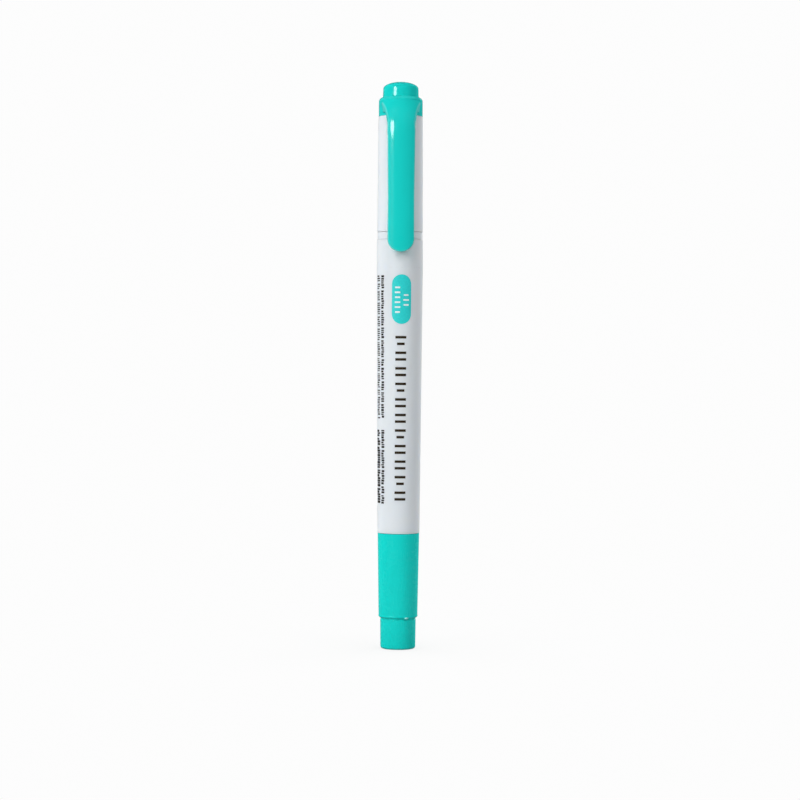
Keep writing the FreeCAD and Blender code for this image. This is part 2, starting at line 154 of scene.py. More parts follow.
def lathe(name, profile, material, body, closed=True, segments=160):
    """Turned piece. The profile runs round a tube, or from the axis to the axis when closed is False."""
    points, rings, edge = [], [], []
    for r, z, rim in profile:
        if r < 1e-6:
            rings.append([len(points)] * segments)
            points.append((0, 0, z))
            edge.append(rim)
            continue
        rings.append(list(range(len(points), len(points) + segments)))
        for k in range(segments):
            turn = 2 * math.pi * k / segments
            points.append((r * math.cos(turn), r * math.sin(turn), z))
            edge.append(rim)
    faces = []
    pairs = len(rings) if closed else len(rings) - 1
    for i in range(pairs):
        a, b = rings[i], rings[(i + 1) % len(rings)]
        for k in range(segments):
            n = (k + 1) % segments
            quad = [a[k], a[n], b[n], b[k]]
            faces.append([v for j, v in enumerate(quad) if v not in quad[:j]])
    piece = add_piece(name, points, faces, material)
    make_outward(piece.data)
    piece.data.attributes.new("edge", "FLOAT", "POINT").data.foreach_set("value", edge)
    piece.modifiers.new("clean shading", "WEIGHTED_NORMAL").weight = 100
    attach(piece, body)
    return piece


def make_outward(mesh):
    """Turns the faces of a closed mesh so that they face out."""
    mesh.calc_loop_triangles()
    co = np.empty(len(mesh.vertices) * 3)
    mesh.vertices.foreach_get("co", co)
    co = co.reshape(-1, 3)
    tri = np.array([t.vertices[:] for t in mesh.loop_triangles])
    volume = np.einsum("ij,ij->i", co[tri[:, 0]], np.cross(co[tri[:, 1]], co[tri[:, 2]])).sum()
    if volume < 0:
        mesh.flip_normals()


def round_and(a, b, k):
    """Meeting of two signed distances, with the outer edge rounded to radius k."""
    return np.minimum(np.maximum(a, b), -k) + np.hypot(np.maximum(a + k, 0), np.maximum(b + k, 0))


def round_or(a, b, k):
    """Joining of two signed distances, with a fillet of radius k between them."""
    return -round_and(-a, -b, k)


def smoothstep(x, start, end):
    """0 before start, 1 after end, smooth between."""
    t = np.clip((x - start) / (end - start), 0, 1)
    return t * t * (3 - 2 * t)


def surface_net(field, low, high, step):
    """Points, quads and normals of the surface where a signed distance is zero, on a grid of cells."""
    lines = [np.arange(a, b + step, step) for a, b in zip(low, high)]
    f = field(*np.meshgrid(*lines, indexing="ij"))
    cells = tuple(n - 1 for n in f.shape)
    total = np.zeros(cells + (3,))
    hits = np.zeros(cells)
    for axis in range(3):
        others = [a for a in range(3) if a != axis]
        for u in (0, 1):
            for v in (0, 1):
                shift = [0, 0, 0]
                shift[others[0]] = u
                shift[others[1]] = v
                here = tuple(slice(s, s + c) for s, c in zip(shift, cells))
                shift[axis] = 1
                there = tuple(slice(s, s + c) for s, c in zip(shift, cells))
                a, b = f[here], f[there]
                cross = (a < 0) != (b < 0)
                t = np.where(cross, a / np.where(cross, a - b, 1), 0)
                shift[axis] = 0
                for d in range(3):
                    total[..., d] += np.where(cross, t if d == axis else shift[d], 0)
                hits += cross
    active = hits > 0
    index = np.full(cells, -1)
    index[active] = np.arange(active.sum())
    corner = np.argwhere(active)
    points = np.array(low) + (corner + total[active] / hits[active][:, None]) * step
    quads = []
    for axis in range(3):
        others = [a for a in range(3) if a != axis]
        span_all = [slice(1, c) for c in cells]
        span_all[axis] = slice(0, cells[axis])
        shifted = list(span_all)
        shifted[axis] = slice(1, cells[axis] + 1)
        a, b = f[tuple(span_all)], f[tuple(shifted)]
        starts = [1, 1, 1]
        starts[axis] = 0
        for rising in (True, False):
            cross = (a < 0) & (b >= 0) if rising else (a >= 0) & (b < 0)
            cell = np.argwhere(cross) + starts
            ring = []
            for u, v in ((1, 1), (0, 1), (0, 0), (1, 0)):
                back = np.zeros(3, int)
                back[others[0]] = u
                back[others[1]] = v
                ring.append(index[tuple((cell - back).T)])
            flip = rising != (axis == 1)
            quads.append(np.stack(ring if flip else ring[::-1], axis=1))
    for _ in range(4):
        value, slope = field(*points.T), gradient(field, points)
        move = value[:, None] * slope / np.maximum((slope ** 2).sum(1), 0.25)[:, None]
        points = points - np.clip(move, -step / 2, step / 2)
    slope = gradient(field, points)
    normals = slope / np.linalg.norm(slope, axis=1)[:, None]
    return points, np.concatenate(quads).tolist(), normals


def gradient(field, points, reach=0.01):
    """Slope of a signed distance at points."""
    out = np.empty_like(points)
    for axis in range(3):
        ahead, behind = points.copy(), points.copy()
        ahead[:, axis] += reach
        behind[:, axis] -= reach
        out[:, axis] = (field(*ahead.T) - field(*behind.T)) / (2 * reach)
    return out


def carve(name, field, low, high, step, material):
    """Mesh object of a signed distance, shaded with its exact normals and marked where it curves outward."""
    points, quads, normals = surface_net(field, low, high, step)
    piece = add_piece(name, points, quads, material)
    reach = 0.12
    bend = field(*(points + reach * normals).T) - reach
    for axis in range(3):
        offset = np.zeros(3)
        offset[axis] = reach
        bend = bend + field(*(points + offset).T) + field(*(points - offset).T)
    edge = np.clip(bend / reach, 0, 1)
    piece.data.attributes.new("edge", "FLOAT", "POINT").data.foreach_set("value", edge.astype(np.float32))
    piece.data.normals_split_custom_set_from_vertices(normals.tolist())
    return piece


# ------------------------------------------------------------------ materials

class Nodes:
    """Short calls for building a node material."""

    def __init__(self, name):
        self.material = bpy.data.materials.new(name)
        self.material.use_nodes = True
        self.tree = self.material.node_tree
        self.shader = self.tree.nodes["Principled BSDF"]
        self.place = self.add("ShaderNodeTexCoord").outputs["Object"]

    def add(self, kind, **settings):
        node = self.tree.nodes.new(kind)
        for key, value in settings.items():
            setattr(node, key, value)
        return node

    def link(self, source, target):
        self.tree.links.new(source, target)

    def stretched(self, x, y, z):
        """Object coordinates times a scale on each axis, in repeats per millimetre."""
        node = self.add("ShaderNodeMapping")
        node.inputs["Scale"].default_value = (x / MM, y / MM, z / MM)
        self.link(self.place, node.inputs["Vector"])
        return node.outputs["Vector"]

    def noise(self, per_mm, detail=2.0, stretch=(1, 1, 1)):
        node = self.add("ShaderNodeTexNoise")
        node.inputs["Scale"].default_value = 1.0
        node.inputs["Detail"].default_value = detail
        self.link(self.stretched(*(per_mm * s for s in stretch)), node.inputs["Vector"])
        return node.outputs["Fac"]

    def remap(self, value, low, high, new_low, new_high):
        node = self.add("ShaderNodeMapRange")
        for key, number in zip(("From Min", "From Max", "To Min", "To Max"), (low, high, new_low, new_high)):
            node.inputs[key].default_value = number
        self.link(value, node.inputs["Value"])
        return node.outputs["Result"]

    def math(self, operation, a, b):
        node = self.add("ShaderNodeMath", operation=operation)
        for socket, value in zip(node.inputs, (a, b)):
            if isinstance(value, (int, float)):
                socket.default_value = value
            else:
                self.link(value, socket)
        return node.outputs["Value"]

    def mix(self, share, first, second):
        """Colour between two colours or sockets."""
        node = self.add("ShaderNodeMix", data_type="RGBA")
        for socket, value in ((node.inputs[0], share), (node.inputs[6], first), (node.inputs[7], second)):
            if hasattr(value, "node"):
                self.link(value, socket)
            elif isinstance(value, (int, float)):
                socket.default_value = value
            else:
                socket.default_value = (*value, 1)
        return node.outputs[2]

    def bump(self, height, strength, depth_mm, under=None):
        node = self.add("ShaderNodeBump")
        node.inputs["Strength"].default_value = strength
        node.inputs["Distance"].default_value = depth_mm * MM
        self.link(height, node.inputs["Height"])
        if under is not None:
            self.link(under, node.inputs["Normal"])
        return node.outputs["Normal"]

    def edge_mask(self):
        """1 on worn spots along outer edges, from the piece's edge attribute broken up by noise."""
        edge = self.add("ShaderNodeAttribute", attribute_name="edge").outputs["Fac"]
        spots = self.remap(self.noise(1.6, 4), 0.50, 0.66, 0, 1)
        return self.math("MULTIPLY", edge, spots)


def shade(colour, factor):
    """A colour made darker or lighter."""
    return tuple(min(1.0, c * factor) for c in colour)


def moulded_plastic(name, colour, roughness, specular, grain, worn, milkiness=0.0, rim=0.0):
    """Moulded polypropylene: faint flow shading, fine skin, hairline scuffs and rubbed edges. With rim set,
    also a painted sheen of pale teal on outer edges and flanks.
    """
    n = Nodes(name)
    flow = n.remap(n.noise(0.09, 2, (1, 1, 0.35)), 0.35, 0.65, 0, 1)
    base = n.mix(flow, shade(colour, 0.975), shade(colour, 1.025))
    # Painted sheen: rim mixes a pale teal into outer edges and into the clip's flanks, a painted reflection
    # of the white sleeve and surround.
    for attribute, share in (("edge", rim), ("flank_sheen", 0.6 * rim)):
        if rim:
            mask = n.add("ShaderNodeAttribute", attribute_name=attribute).outputs["Fac"]
            base = n.mix(n.math("MULTIPLY", mask, share), base, (0.40, 0.84, 0.82))
    wear = n.edge_mask()
    base = n.mix(n.math("MULTIPLY", wear, 0.35), base, worn)
    n.link(base, n.shader.inputs["Base Color"])
    scuffs = n.remap(n.noise(5.0, 3, (1, 1, 0.06)), 0.55, 0.75, 0, 1)
    patches = n.remap(n.noise(0.5, 3), 0.35, 0.65, -0.12 * roughness, 0.12 * roughness)
    rough = n.math("ADD", n.math("ADD", patches, roughness), n.math("MULTIPLY", scuffs, 0.25 * roughness))
    rough = n.math("ADD", rough, n.math("MULTIPLY", wear, 0.15))
    n.link(rough, n.shader.inputs["Roughness"])
    skin = n.bump(n.noise(9.0, 2), grain, 0.012)
    n.link(n.bump(scuffs, grain * 0.6, 0.003, skin), n.shader.inputs["Normal"])
    n.shader.inputs["Specular IOR Level"].default_value = specular
    n.shader.inputs["IOR"].default_value = 1.49
    n.shader.inputs["Subsurface Weight"].default_value = milkiness
    n.shader.inputs["Subsurface Scale"].default_value = 1.5 * MM
    n.shader.inputs["Subsurface Radius"].default_value = (1.0, 0.9, 0.8)
    return n.material


def printed_ink(name, colour, roughness):
    """Thin screen-printed ink with slight mottling."""
    n = Nodes(name)
    mottle = n.remap(n.noise(2.5, 4), 0.3, 0.7, 0, 1)
    n.link(n.mix(mottle, shade(colour, 0.93), shade(colour, 1.07)), n.shader.inputs["Base Color"])
    patchy = n.remap(n.noise(6.0, 2), 0.3, 0.7, roughness - 0.05, roughness + 0.05)
    n.link(patchy, n.shader.inputs["Roughness"])
    n.link(n.bump(n.noise(12.0, 2), 0.15, 0.005), n.shader.inputs["Normal"])
    n.shader.inputs["Specular IOR Level"].default_value = 0.3
    return n.material


def inked_fibre(name, colour):
    """Compressed fibres along the pen, soaked with ink and darker at the pores."""
    n = Nodes(name)
    strands = n.noise(7.0, 3, (1, 1, 0.10))
    pores = n.remap(n.noise(6.0, 4), 0.56, 0.70, 0, 1)
    base = n.mix(n.remap(strands, 0.35, 0.65, 0, 1), shade(colour, 0.72), shade(colour, 1.18))
    n.link(n.mix(pores, base, shade(colour, 0.45)), n.shader.inputs["Base Color"])
    n.link(n.remap(strands, 0.3, 0.7, 0.62, 0.85), n.shader.inputs["Roughness"])
    pits = n.bump(pores, 0.5, -0.05)
    n.link(n.bump(strands, 0.6, 0.05, pits), n.shader.inputs["Normal"])
    n.shader.inputs["Sheen Weight"].default_value = 0.2
    n.shader.inputs["Specular IOR Level"].default_value = 0.25
    return n.material


def clear_film(name):
    """Thin clear wrap around the fibre rod."""
    n = Nodes(name)
    streaks = n.noise(1.5, 3, (1, 1, 0.1))
    n.link(n.mix(n.remap(streaks, 0.3, 0.7, 0, 1), (0.30, 0.72, 0.68), (0.42, 0.82, 0.78)),
           n.shader.inputs["Base Color"])
    n.link(n.remap(streaks, 0.3, 0.7, 0.12, 0.25), n.shader.inputs["Roughness"])
    n.link(n.bump(streaks, 0.2, 0.02), n.shader.inputs["Normal"])
    return n.material


TEAL = (0.008, 0.672, 0.620)
WHITE = (0.815, 0.865, 0.905)
teal_gloss = moulded_plastic("teal_gloss", TEAL, 0.10, 0.42, 0.10, (0.10, 0.72, 0.66))
# The clip's copy, with rim, paints a pale sheen on its edges and flanks: a painted reflection.
teal_clip = moulded_plastic("teal_clip", TEAL, 0.10, 0.42, 0.10, (0.10, 0.72, 0.66), rim=0.27)
teal_satin = moulded_plastic("teal_satin", (0.003, 0.74, 0.67), 0.26, 0.25, 0.18, (0.10, 0.74, 0.68))
white_satin = moulded_plastic("white_satin", WHITE, 0.33, 0.35, 0.20, (0.66, 0.68, 0.68), 0.5)
milky = moulded_plastic("milky_plastic", (0.74, 0.77, 0.76), 0.36, 0.40, 0.25, (0.66, 0.68, 0.66))
# Pale teal of the gate nub: stress whitening, and partly a painted glint.
stressed_and_glint = moulded_plastic("teal_stressed_and_glint", (0.30, 0.82, 0.78), 0.20, 0.5, 0.20, (0.5, 0.9, 0.86))
badge_ink = printed_ink("badge_ink", (0.030, 0.70, 0.69), 0.40)
white_ink = printed_ink("white_ink", (0.86, 0.93, 0.93), 0.45)
dark_ink = printed_ink("dark_ink", (0.034, 0.022, 0.010), 0.45)
small_print_ink = printed_ink("small_print_ink", (0.012, 0.009, 0.006), 0.45)
nib_fibre = inked_fibre("nib_fibre", (0.010, 0.56, 0.47))
store_fibre = inked_fibre("store_fibre", (0.012, 0.50, 0.42))
film = clear_film("film")


# ------------------------------------------------------------------ fine cap

def build_fine_cap():
    """Narrow end, tapered shell and liner of the lower cap."""
    spigot_r, bore_r, floor_z = 4.06, 3.10, END_BOTTOM + 1.4
    foot_round, groove_r = 0.60, STEP_INNER_R - 0.12
    groove_low_z, groove_high_z = STEP_Z - 0.46, STEP_Z - 0.36
    end = lathe("narrow_end", soften([
        (0, END_BOTTOM, 0),
        (FOOT_R, END_BOTTOM, foot_round),
        (STEP_INNER_R - 0.01, groove_low_z, 0.04),
        (groove_r, groove_high_z, 0.04),
        (groove_r, STEP_Z, 0.02),
        (spigot_r, STEP_Z, 0.05),
        (spigot_r, END_SPIGOT_TOP, 0.10),
        (bore_r, END_SPIGOT_TOP, 0.10),
        (bore_r, floor_z, 0.20),
        (0, floor_z, 0),
    ], False), teal_satin, "fine_cap", closed=False)
    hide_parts("fine_cap_end")

    socket_r, stop_r, waist_r, seat_r = 4.10, 3.75, 4.15, 4.47
    stop_z, stop_top_z, seat_z = 12.50, 13.70, 22.0
    lip_r, lip_z = STEP_OUTER_R - 0.26, STEP_Z + 0.01
    bead_r, bead_z, bead_top_z = STEP_OUTER_R + 0.07, STEP_Z + 0.36, STEP_Z + 0.70
    shell = lathe("fine_cap_tube", soften([
        (socket_r, lip_z, 0.05),
        (lip_r, lip_z, 0.08),
        (bead_r, bead_z, 0.16),
        (STEP_OUTER_R + 0.01, bead_top_z, 0.15),
        (FINE_RIM_R, FINE_RIM_Z, 0.12),
        (seat_r, FINE_RIM_Z, 0.15),
        (seat_r, seat_z, 0.10),
        (waist_r, seat_z - 0.5, 0.10),
        (waist_r, stop_top_z + 0.4, 0.05),
        (stop_r, stop_top_z, 0.05),
        (stop_r, stop_z, 0.05),
        (socket_r, stop_z, 0.03),
    ], True), teal_satin, "fine_cap")
    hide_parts("fine_cap_shell")


def build_gate_mark():
    """Small trimmed nub on the lip at the step, left by the mould. Its pale colour is stress whitening and
    partly a painted glint.
    """
    turn = math.radians(24.0)
    centre_r, centre_z = STEP_OUTER_R - 0.02, STEP_Z + 0.16
    half_wide, half_deep, half_high = 0.50, 0.24, 0.26
    room, step = 0.6, 0.05

    def nub(x, y, z):
        along = (x * math.cos(turn) + y * math.sin(turn)) / half_wide
        out = (x * math.sin(turn) - y * math.cos(turn) - centre_r) / half_deep
        up = (z - centre_z) / half_high
        return (np.sqrt(along ** 2 + out ** 2 + up ** 2) - 1) * half_deep

    middle = (centre_r * math.sin(turn), -centre_r * math.cos(turn), centre_z)
    piece = carve("gate_mark", nub, [c - room for c in middle], [c + room for c in middle], step, stressed_and_glint)
    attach(piece, "fine_cap")


# ------------------------------------------------------------------ pen

def barrel_radius(z):
    """Outer radius of the barrel at a height."""
    return float(np.interp(z, (BARREL_BOTTOM, BARREL_WIDEST_Z, BARREL_TOP),
                           (BARREL_BOTTOM_R, BARREL_WIDEST_R, BARREL_TOP_R)))


def build_barrel():
    """Tapered barrel."""
    bottom_bore_r, middle_bore_r, top_bore_r = 3.72, 4.05, 4.82
    bottom_bore_top_z, middle_bore_low_z, middle_bore_top_z = 37.8, 38.5, 91.5
    belly_round = 40.0
    barrel = lathe("barrel_tube", soften([
        (bottom_bore_r, BARREL_BOTTOM, 0.10),
        (BARREL_BOTTOM_R, BARREL_BOTTOM, 0.12),
        (BARREL_WIDEST_R, BARREL_WIDEST_Z, belly_round),
        (BARREL_TOP_R, BARREL_TOP, 0.12),
        (top_bore_r, BARREL_TOP, 0.10),
        (top_bore_r, middle_bore_top_z, 0.10),
        (middle_bore_r, middle_bore_low_z, 0.10),
        (bottom_bore_r, bottom_bore_top_z, 0.10),
    ], True), white_satin, "pen")
    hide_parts("barrel")


def build_nibs():
    """Chisel nib and bullet nib."""
    half_x, half_y, corner = 2.40, 1.50, 0.70
    tip, slant, bevel, edge_half, bottom = BROAD_NIB_TIP, 2.60, 6.80, 0.55, 112.0
    bevel_round, slant_round, bottom_round = 0.25, 0.30, 0.10
    room, step = 0.4, 0.12
    slant_len = math.hypot(slant, 2 * half_x)
    bevel_len = math.hypot(bevel, half_y - edge_half)

    def chisel(x, y, z):
        side = round_and(np.abs(x) - half_x, np.abs(y) - half_y, corner)
        top = ((z - tip) * 2 * half_x - (x - half_x) * slant) / slant_len
        faces = ((np.abs(y) - edge_half) * bevel + (z - tip) * (half_y - edge_half)) / bevel_len
        nib = round_and(side, faces, bevel_round)
        nib = round_and(nib, top, slant_round)
        return round_and(nib, bottom - z, bottom_round)

    low = (-half_x - room, -half_y - room, bottom - room)
    high = (half_x + room, half_y + room, tip + room)
    nib = carve("chisel_nib", chisel, low, high, step, nib_fibre)
    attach(nib, "pen")
    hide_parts("broad_nib")

    point_r, shoulder_z, tail_z = 0.42, FINE_NIB_TIP + 2.1, 30.0
    bullet = lathe("bullet_nib", soften([
        (0, FINE_NIB_TIP, 0),
        (point_r, FINE_NIB_TIP, 0.40),
        (FINE_NIB_R, shoulder_z, 0.60),
        (FINE_NIB_R, tail_z, 0.05),
        (0, tail_z, 0),
    ], False, 8), nib_fibre, "pen", closed=False, segments=64)
    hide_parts("fine_nib")


def build_holders():
    """Mouldings that hold the nibs: cone and neck below, collar, neck and nose above."""
    fine_bottom, fine_top, _ = span("fine_nib_holder")
    mouth_r, nose_r, nose_z = 1.70, 3.00, 17.50
    neck_r, neck_z, seat_z = 4.42, 22.30, BARREL_BOTTOM - 0.01
    plug_r, cavity_r, throat_r, bore_r, bore_top_z = 3.70, 2.80, 1.95, FINE_NIB_R + 0.02, 16.0
    fine = lathe("fine_holder", soften([
        (bore_r, fine_bottom, 0.05),
        (mouth_r, fine_bottom, 0.25),
        (nose_r, nose_z, 0.60),
        (nose_r, neck_z, 0.12),
        (neck_r, neck_z, 0.35),
        (neck_r, seat_z, 0.05),
        (plug_r, seat_z, 0.02),
        (plug_r, fine_top, 0.10),
        (cavity_r, fine_top, 0.10),
        (cavity_r, neck_z + 1.0, 0.30),
        (throat_r, neck_z - 1.5, 0.30),
        (bore_r, bore_top_z, 0.20),
    ], True), white_satin, "pen", segments=128)
    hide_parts("fine_nib_holder")

    broad_bottom, broad_top, _ = span("broad_nib_holder")
    collar_r, collar_low, collar_high = 5.60, BARREL_TOP + 0.05, CAP_RIM_Z - 0.12
    neck_r, neck_top, nose_r, mouth_r = 4.46, 111.50, 3.85, 3.45
    plug_r, socket_r, cavity_r = 4.80, 3.75, 3.40
    broad = lathe("broad_holder", soften([
        (0, broad_top, 0),
        (mouth_r, broad_top, 0.35),
        (nose_r, broad_top - 3.5, 0.60),
        (nose_r, neck_top, 0.12),
        (neck_r, neck_top, 0.35),
        (neck_r, collar_high, 0.05),
        (collar_r, collar_high, 0.08),
        (collar_r, collar_low, 0.08),
        (plug_r, collar_low, 0.02),
        (plug_r, broad_bottom, 0.10),
        (socket_r, broad_bottom, 0.10),
        (socket_r, BARREL_TOP - 1.0, 0.10),
        (cavity_r, BARREL_TOP, 0.10),
        (cavity_r, neck_top, 0.20),
        (0, neck_top + 1.5, 0),
    ], False), white_satin, "pen", closed=False)
    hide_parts("broad_nib_holder")


# ------------------------------------------------------------------ clip cap

def build_sleeve():
    """White sleeve of the clip cap."""
    seat_r, socket_r, stop_z = 4.51, 4.85, 129.9
    sleeve = lathe("cap_sleeve", soften([
        (seat_r, CAP_RIM_Z, 0.12),
        (CAP_RIM_R, CAP_RIM_Z, 0.15),
        (CAP_TOP_R, RING_BOTTOM, 0.12),
        (socket_r, RING_BOTTOM, 0.05),
        (socket_r, stop_z, 0.05),
        (seat_r, stop_z, 0.05),
    ], True), white_satin, "broad_cap")
    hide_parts("broad_cap_sleeve")


def clip_half_width(z):
    """Half width of the clip's front face.

    It widens a little towards the tip and more towards the root, and has a waist under the ring.
    """
    middle_half, middle_z, tip_run = 3.15, 112, 10
    spread, spread_run = 0.0109, 16.5
    waist, waist_start_z, waist_end_z = 0.26, 128.0, 131.0
    flare, flare_z, flare_run = 0.0105, 129.9, 9
    half = middle_half + (TIP_HALF - middle_half) * np.clip((middle_z - z) / tip_run, 0, 1)
    half = half + spread * np.clip(z - middle_z, 0, spread_run)
    half = half - waist * smoothstep(z, waist_start_z, waist_end_z)
    return half + flare * np.clip(z - flare_z, 0, flare_run) ** 2


def ring_field(x, y, z):
    """Signed distance from the ring, with its spigot below and the hole for the button's stem."""
    spigot_r, spigot_z, hidden = 4.80, SPIGOT_BOTTOM + 0.05, 1
    r = np.hypot(x, y)
    ring = round_and(r - RING_R, z - RING_TOP, RING_ROUND)
    ring = round_and(ring, RING_BOTTOM + 0.01 - z, 0.12)
    spigot = round_and(r - spigot_r, spigot_z - z, 0.15)
    ring = np.minimum(ring, np.maximum(spigot, z - RING_TOP + hidden))
    return round_and(ring, STEM_HOLE_R - r, 0.10)


def clip_field(x, y, z):
    """Signed distance from the one moulding of ring, root and clip."""
    top_r = RING_R - RING_ROUND
    thick, root_z, bow_power = 1.50, 124.0, 4.0
    front_root_r = CLIP_FRONT + CROWN_Y
    slope = 0.20 / (root_z - CLIP_TIP_Z)
    rise, reach = RING_TOP - root_z, CLIP_FRONT - top_r
    arch_top_z, arch_round = RING_BOTTOM + 0.75, 0.5
    root_back_half, root_back_y = 4.87, -2.0
    pad_y, pad_z, pad_r = -6.98, 102.0, 1.10
    tip_z = CLIP_TIP_Z + TIP_HALF
    below_root = np.clip(root_z - z, 0, 40)

    height = np.clip((z - root_z) / rise, 0, 1.05)
    share = height ** bow_power
    back = reach * share + slope * below_root
    centre_y = CROWN_Y * (1 - share)
    lean = reach * bow_power / rise * height ** (bow_power - 1)
    outer = (np.hypot(x, y - centre_y) - (centre_y + CLIP_FRONT - back)) / np.sqrt(1 + lean ** 2)
    outer = round_and(outer, z - RING_TOP, 0.12)
    gap_r = front_root_r - thick - slope * below_root
    gap = round_and(np.hypot(x, y - CROWN_Y) - gap_r, z - arch_top_z, arch_round)

    draft = 0.06 + 0.19 * smoothstep(z, 127.0, 133.5)
    half = np.minimum(clip_half_width(z) + draft * (y + CLIP_FRONT), root_back_half)
    side = (np.abs(x) - half) / np.sqrt(1 + draft ** 2)
    side = np.where(z < tip_z, np.hypot(x, z - tip_z) - TIP_HALF - draft * (y + CLIP_FRONT), side)

    strip = round_and(outer, side, 0.20)
    strip = round_and(strip, -gap, 0.25)
    strip = np.maximum(strip, y - root_back_y)
    pad = np.sqrt(x ** 2 + (y - pad_y) ** 2 + (z - pad_z) ** 2) - pad_r
    strip = round_or(strip, pad, 0.35)
    return round_or(ring_field(x, y, z), strip, 0.10)


def mark_flank_sheen(clip):
    """Adds the attribute for the flanks' painted sheen: 1 on the upright sides of the clip's root, outside
    the ring, where pale teal is painted in as a reflection.
    """
    fade, side_low, side_high, root_low_z, root_high_z = 0.40, 0.80, 0.95, 130.5, 133.0
    count = len(clip.data.vertices)
    places, facing = np.empty(count * 3), np.empty(count * 3)
    clip.data.vertices.foreach_get("co", places)
    clip.data.vertices.foreach_get("normal", facing)
    places, facing = places.reshape(-1, 3) / MM, facing.reshape(-1, 3)
    outside = smoothstep(np.hypot(places[:, 0], places[:, 1]), RING_R, RING_R + fade)
    upright = smoothstep(np.abs(facing[:, 0]), side_low, side_high)
    flank_sheen = outside * upright * smoothstep(places[:, 2], root_low_z, root_high_z)
    clip.data.attributes.new("flank_sheen", "FLOAT", "POINT").data.foreach_set("value", flank_sheen.astype(np.float32))


def build_clip():
    """Ring and clip as one moulding, clear of the ring's spigot. The real clip flexes at its root; this mesh
    is not made to bend.
    """
    room = 0.4
    reach = RING_R + room
    low = (-reach, -CLIP_FRONT - room, CLIP_TIP_Z - room)
    high = (reach, reach, RING_TOP + room)
    step = 0.14
    clip = carve("clip_moulding", clip_field, low, high, step, teal_clip)
    mark_flank_sheen(clip)
    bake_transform(clip)
    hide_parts("clip_ring", "clip_arm")


def build_button():
    """Crowned end button with a small foot fillet and its stem."""
    wall_top, power, count, draft, lean = 139.80, 1.95, 14, 0.012, 0.04
    height = PEN_TOP - wall_top
    foot_r, fillet_r, foot_z, fillet_z = BUTTON_R + 0.10, BUTTON_R + 0.07, RING_TOP + 0.01, RING_TOP + 0.81
    band_z = wall_top - 0.45
    crown = []
    for i in range(1, count):
        turn = math.pi / 2 * i / count
        crown_r = (BUTTON_R - lean) * math.cos(turn) ** (2 / power)
        crown.append((crown_r, wall_top + height * math.sin(turn) ** (2 / power), 0))
    stem_r = STEM_HOLE_R - 0.04
    button = lathe("end_button", soften([
        (0, STEM_BOTTOM, 0),
        (stem_r, STEM_BOTTOM, 0.20),
        (stem_r, foot_z, 0.02),
        (foot_r, foot_z, 0.02),
        (fillet_r, foot_z + 0.10, 0.10),
        (BUTTON_R + draft, fillet_z, 0.60),
        (BUTTON_R - draft, band_z, 0.30),
        (BUTTON_R - lean, wall_top, 0),
        *crown,
        (0, PEN_TOP, 0),
    ], False), teal_gloss, "broad_cap", closed=False)
    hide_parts("cap_end_plug")


# ------------------------------------------------------------------ print on the barrel

INK_LIFT = 0.012
OVERPRINT_LIFT = 0.022
INK_SINK = 0.03


def stamp(points, faces, turn, rows, columns, lift):
    """Adds one thin solid patch on the barrel.

    Rows are (height, half width), and turn is in degrees from the front.
    """
    base = len(points)
    for level in (lift, -INK_SINK):
        for z, half in rows:
            radius = barrel_radius(z)
            for c in range(columns + 1):
                angle = math.radians(turn) + half * (2 * c / columns - 1) / radius
                points.append(((radius + level) * math.sin(angle), -(radius + level) * math.cos(angle), z))
    wide = columns + 1
    layer = len(rows) * wide

    def at(level, row, column):
        return base + level * layer + row * wide + column

    last = len(rows) - 1
    for row in range(last):
        for c in range(columns):
            faces.append([at(0, row, c), at(0, row, c + 1), at(0, row + 1, c + 1), at(0, row + 1, c)])
            faces.append([at(1, row, c), at(1, row + 1, c), at(1, row + 1, c + 1), at(1, row, c + 1)])
        faces.append([at(0, row, 0), at(0, row + 1, 0), at(1, row + 1, 0), at(1, row, 0)])
        end = columns
        faces.append([at(0, row, end), at(1, row, end), at(1, row + 1, end), at(0, row + 1, end)])
    for c in range(columns):
        faces.append([at(0, 0, c), at(1, 0, c), at(1, 0, c + 1), at(0, 0, c + 1)])
        faces.append([at(0, last, c), at(0, last, c + 1), at(1, last, c + 1), at(1, last, c)])


def capsule_rows(middle, half_length, half_width, steps=14):
    """Rows of an upright capsule."""
    straight = half_length - half_width
    narrowest = 0.02
    rows = []
    for i in range(steps + 1):
        turn = math.pi / 2 * i / steps
        z = middle - straight - half_width * math.cos(turn)
        rows.append((z, max(narrowest, half_width * math.sin(turn))))
    upper = [(2 * middle - z, half) for z, half in reversed(rows)]
    return rows + upper


def bar_rows(middle, half_height, half_width):
    """Rows of a plain bar across the barrel."""
    return [(middle - half_height, half_width), (middle + half_height, half_width)]


def print_piece(name, marks, material, lift=INK_LIFT):
    """One printed piece from a list of (turn, rows, columns)."""
    points, faces = [], []
    for turn, rows, columns in marks:
        stamp(points, faces, turn, rows, columns, lift)
    piece = add_piece(name, points, faces, material)
    make_outward(piece.data)
    piece.data.shade_flat()
    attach(piece, "pen")


def bar_column(pick, turn, top, bottom, half_width, height, gap, word_gap):
    """Column of short plain bars in groups, like lines of small print turned on their side."""
    marks = []
    z = top
    while z > bottom:
        for _ in range(pick.randint(3, 9)):
            if z < bottom:
                break
            thick = height * pick.uniform(0.7, 1.3)
            half = half_width * pick.uniform(0.75, 1.0)
            lean = math.degrees((half_width - half) / barrel_radius(z)) * pick.choice((-1, 1))
            marks.append((turn + lean, bar_rows(z - thick / 2, thick / 2, half), 3))
            z -= thick + gap
        z -= word_gap
    return marks


